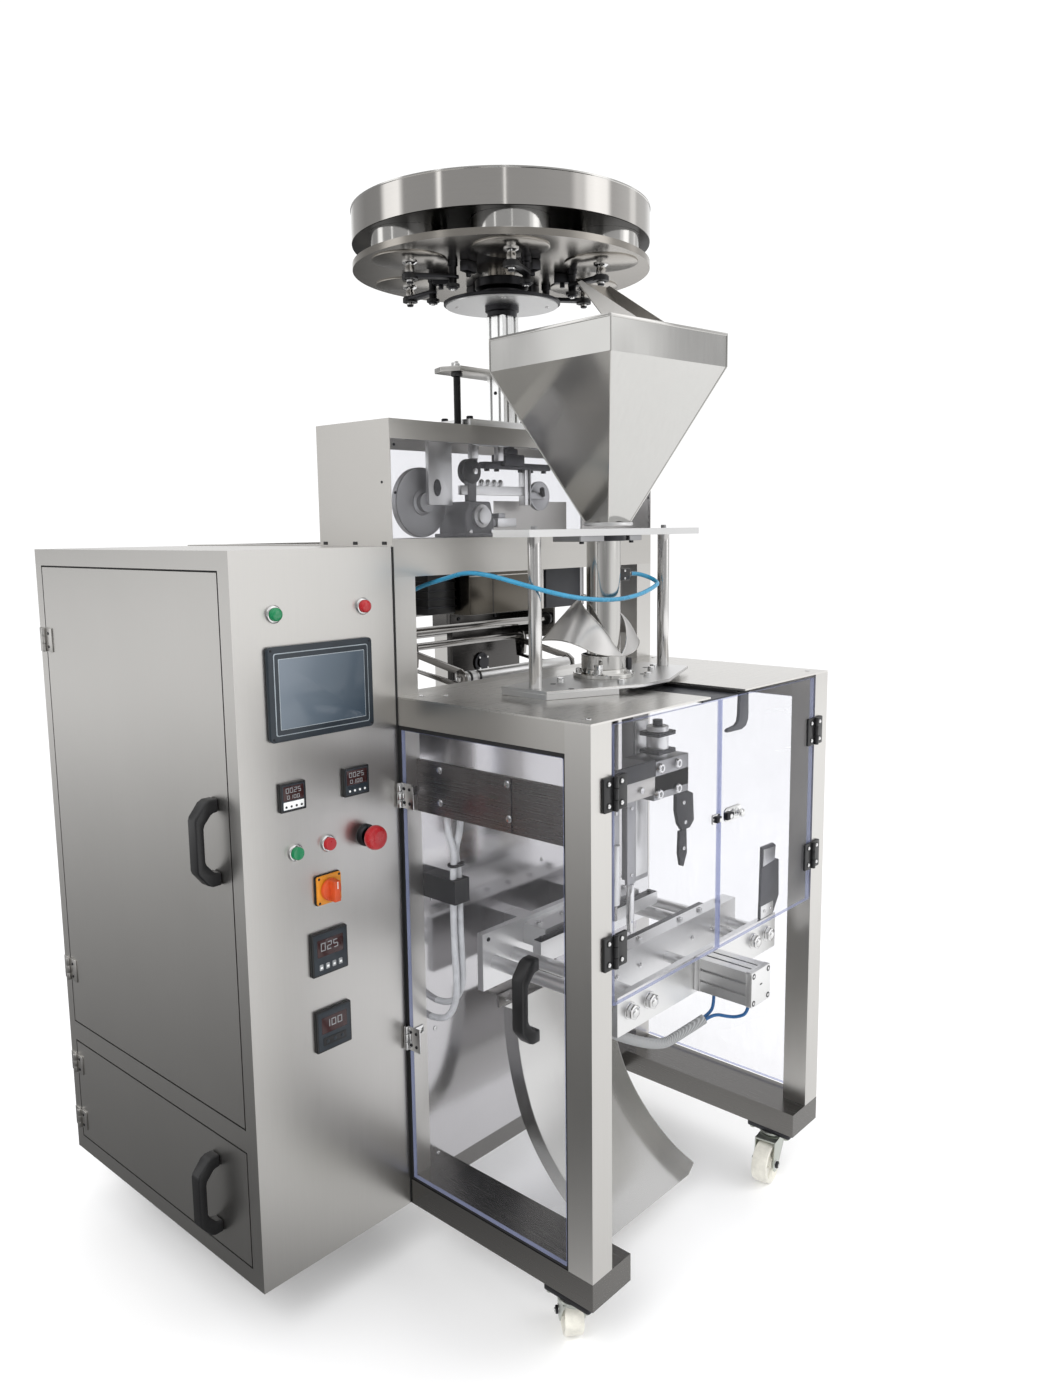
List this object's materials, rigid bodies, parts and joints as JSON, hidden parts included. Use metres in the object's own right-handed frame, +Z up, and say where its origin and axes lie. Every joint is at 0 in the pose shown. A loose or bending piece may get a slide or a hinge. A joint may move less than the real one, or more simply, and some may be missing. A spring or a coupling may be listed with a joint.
{
  "type": "vertical form fill seal machine",
  "caption": "Vertical form fill seal machine: steel frame on casters, clear guards, side control cabinet, hopper, forming tube and rotary cup filler.",
  "frame": {"origin": "centre of the bounding box, on the floor", "axes": "+Z up; the front of the machine, with its control panel and clear double doors, faces -Y; the control cabinet is on the -X side"},
  "size_m": [1.112, 1.151, 1.937],
  "materials": {
    "stainless_sheet": "brushed",
    "stainless_bright": "polished",
    "clear_guard": "clear",
    "black_plastic": "matte",
    "caster_nylon": "satin",
    "screen_housing": "satin",
    "lamp_colours": "gloss",
    "red_plastic": "gloss",
    "blue_tube": "gloss",
    "grey_conduit": "matte",
    "dark_steel": "satin",
    "aluminium": "anodised"
  },
  "bodies": {
    "machine": {"frame_uprights": "stainless_sheet", "base_frame": "stainless_sheet", "frame_rails": "stainless_sheet", "table_top": "stainless_sheet", "back_sheet": "stainless_sheet", "fixed_clear_guards": "clear_guard", "cabinet_shell": "stainless_sheet", "touch_panel": "screen_housing", "temperature_controllers": "screen_housing", "panel_fittings": "lamp_colours", "frame_hinge_leaves": "black_plastic", "caster_plates": "dark_steel", "jaw_frame": "aluminium", "jaw_cylinder": "aluminium", "rear_jaw": "aluminium", "side_beams": "stainless_sheet", "vertical_sealer": "aluminium", "discharge_chute": "stainless_sheet", "upper_box": "stainless_sheet", "drive_unit": "dark_steel", "turntable_column": "stainless_sheet", "feed_chute": "stainless_sheet", "hopper": "stainless_bright", "tube_stand": "aluminium", "forming_tube": "stainless_bright", "forming_collar": "stainless_bright", "film_guide_bars": "stainless_bright", "hose_clamp": "black_plastic", "air_hose": "blue_tube", "jaw_conduit": "grey_conduit", "jaw_air_tube_rear": "blue_tube", "jaw_air_tube_front": "blue_tube", "chamber_hose_a": "grey_conduit", "chamber_hose_b": "grey_conduit"},
    "cabinet_door_upper": {"cabinet_door_upper": "stainless_sheet", "cabinet_door_upper_fittings": "black_plastic"},
    "cabinet_door_lower": {"cabinet_door_lower": "stainless_sheet", "cabinet_door_lower_fittings": "black_plastic"},
    "side_door_left": {"side_door_left": "clear_guard", "side_door_left_fittings": "black_plastic"},
    "front_door_left": {"front_door_left": "clear_guard", "front_door_left_fittings": "black_plastic"},
    "front_door_right": {"front_door_right": "clear_guard", "front_door_right_fittings": "black_plastic"},
    "emergency_stop": {"emergency_stop_button": "red_plastic"},
    "main_switch": {"main_switch_knob": "red_plastic"},
    "front_jaw": {"front_jaw": "aluminium"},
    "turntable": {"turntable_tray": "stainless_bright", "turntable_cups": "stainless_bright", "turntable_disc": "stainless_bright", "turntable_flaps": "stainless_bright"},
    "film_roller": {"film_roller": "aluminium"},
    "caster_fork_front_left": {"caster_fork_front_left": "stainless_bright"},
    "caster_wheel_front_left": {"caster_wheel_front_left": "caster_nylon"},
    "caster_fork_front_right": {"caster_fork_front_right": "stainless_bright"},
    "caster_wheel_front_right": {"caster_wheel_front_right": "caster_nylon"},
    "caster_fork_rear_left": {"caster_fork_rear_left": "stainless_bright"},
    "caster_wheel_rear_left": {"caster_wheel_rear_left": "caster_nylon"},
    "caster_fork_rear_right": {"caster_fork_rear_right": "stainless_bright"},
    "caster_wheel_rear_right": {"caster_wheel_rear_right": "caster_nylon"}
  },
  "joints": [
    {"name": "cabinet_door_upper_hinge", "type": "hinge", "parent": "machine", "child": "cabinet_door_upper", "pos_m": [-0.5185, 0.553, 0.83], "axis": [0, 0, -1], "range_deg": [0, 120]},
    {"name": "cabinet_door_lower_hinge", "type": "hinge", "parent": "machine", "child": "cabinet_door_lower", "pos_m": [-0.5185, 0.553, 0.238], "axis": [0, 0, -1], "range_deg": [0, 120]},
    {"name": "side_door_left_hinge", "type": "hinge", "parent": "machine", "child": "side_door_left", "pos_m": [-0.199, -0.082, 0.577], "axis": [0, 0, -1], "range_deg": [0, 50]},
    {"name": "front_door_left_hinge", "type": "hinge", "parent": "machine", "child": "front_door_left", "pos_m": [-0.141, -0.51, 0.82], "axis": [0, 0, -1], "range_deg": [0, 160]},
    {"name": "front_door_right_hinge", "type": "hinge", "parent": "machine", "child": "front_door_right", "pos_m": [0.503, -0.51, 0.82], "axis": [0, 0, 1], "range_deg": [0, 160]},
    {"name": "emergency_stop_press", "type": "slide", "parent": "machine", "child": "emergency_stop", "axis": [0, 1, 0], "range_m": [0, 0.006], "stiffness_N_per_m": 900, "springref_m": -0.002},
    {"name": "main_switch_turn", "type": "hinge", "parent": "machine", "child": "main_switch", "pos_m": [-0.3575, -0.0865, 0.7525], "axis": [0, -1, 0], "range_deg": [-90, 0]},
    {"name": "front_jaw_slide", "type": "slide", "parent": "machine", "child": "front_jaw", "axis": [0, 1, 0], "range_m": [0, 0.095]},
    {"name": "turntable_spin", "type": "hinge", "parent": "machine", "child": "turntable", "pos_m": [0.183, 0.0135, 1.85], "axis": [0, 0, 1], "continuous": true},
    {"name": "film_roller_spin", "type": "hinge", "parent": "machine", "child": "film_roller", "pos_m": [0.181, 0.0735, 1.036], "axis": [1, 0, 0], "continuous": true},
    {"name": "caster_swivel_front_left", "type": "hinge", "parent": "machine", "child": "caster_fork_front_left", "pos_m": [-0.17, -0.4475, 0.09], "axis": [0, 0, 1], "continuous": true},
    {"name": "caster_wheel_spin_front_left", "type": "hinge", "parent": "caster_fork_front_left", "child": "caster_wheel_front_left", "pos_m": [-0.14487, -0.419, 0.04], "axis": [0.7501, -0.6613, 0], "continuous": true},
    {"name": "caster_swivel_front_right", "type": "hinge", "parent": "machine", "child": "caster_fork_front_right", "pos_m": [0.48, -0.4475, 0.09], "axis": [0, 0, 1], "continuous": true},
    {"name": "caster_wheel_spin_front_right", "type": "hinge", "parent": "caster_fork_front_right", "child": "caster_wheel_front_right", "pos_m": [0.44235, -0.45266, 0.04], "axis": [-0.1357, 0.9907, 0], "continuous": true},
    {"name": "caster_swivel_rear_left", "type": "hinge", "parent": "machine", "child": "caster_fork_rear_left", "pos_m": [-0.17, 0.5195, 0.09], "axis": [0, 0, 1], "continuous": true},
    {"name": "caster_wheel_spin_rear_left", "type": "hinge", "parent": "caster_fork_rear_left", "child": "caster_wheel_rear_left", "pos_m": [-0.20471, 0.50404, 0.04], "axis": [-0.4067, 0.9135, 0], "continuous": true},
    {"name": "caster_swivel_rear_right", "type": "hinge", "parent": "machine", "child": "caster_fork_rear_right", "pos_m": [0.48, 0.5195, 0.09], "axis": [0, 0, 1], "continuous": true},
    {"name": "caster_wheel_spin_rear_right", "type": "hinge", "parent": "caster_fork_rear_right", "child": "caster_wheel_rear_right", "pos_m": [0.44645, 0.53734, 0.04], "axis": [0.4695, 0.8829, 0], "continuous": true}
  ]
}
